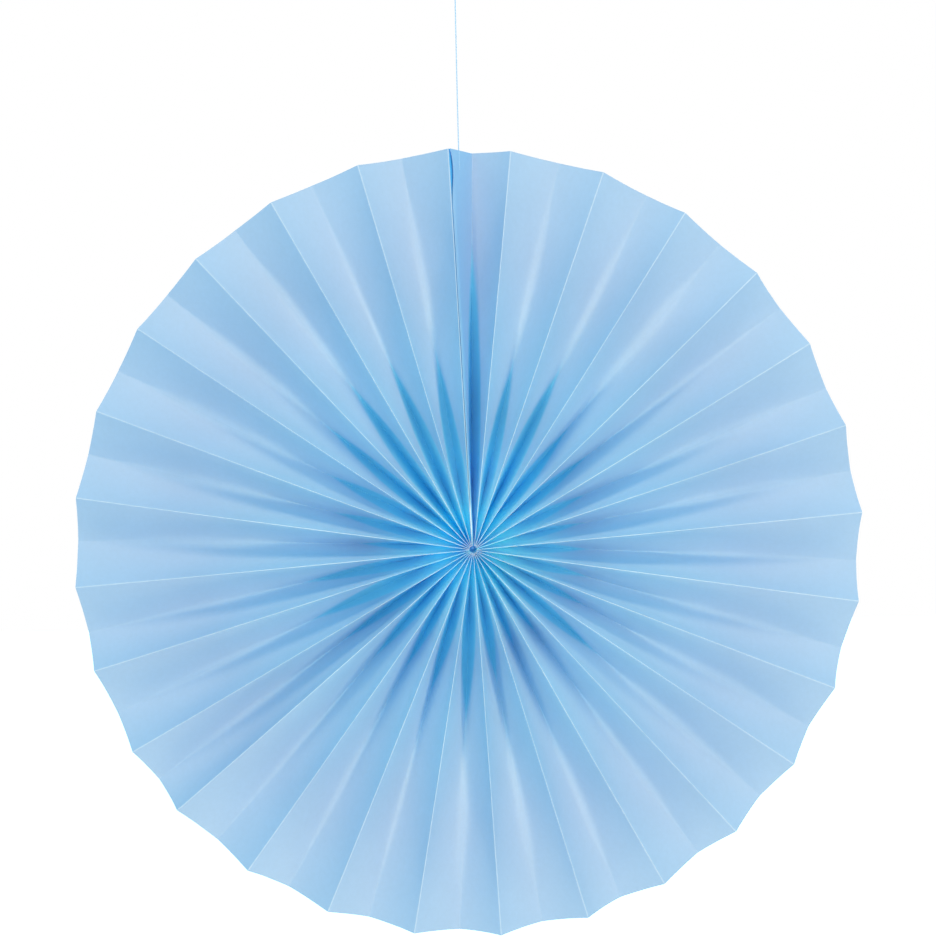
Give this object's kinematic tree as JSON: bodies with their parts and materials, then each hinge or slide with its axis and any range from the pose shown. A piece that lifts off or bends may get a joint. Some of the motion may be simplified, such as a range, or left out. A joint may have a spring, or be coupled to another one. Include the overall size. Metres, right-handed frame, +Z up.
{
  "type": "paper fan rosette",
  "caption": "Hanging paper fan: a pleated strip opened into a full disc, gathered at its hub, lapped and glued at the join, and hung from a thread with a tied loop.",
  "frame": {"origin": "where a hook bears, on the inside of the top of the hanging loop", "axes": "+Z up along the plumb hanging thread, +Y from the fan's front to its back, +X to the right as seen from the front"},
  "size_m": [0.4056, 0.0257, 0.5108],
  "materials": {
    "paper": "matte",
    "thread": "matte",
    "glue": "satin"
  },
  "bodies": {
    "root": {"pleated_sheet": "paper", "gather_thread": "thread", "gather_knot": "thread", "join_glue": "glue", "hanging_thread": "thread", "loop_knot": "thread", "hanging_loop": "thread"}
  },
  "joints": []
}
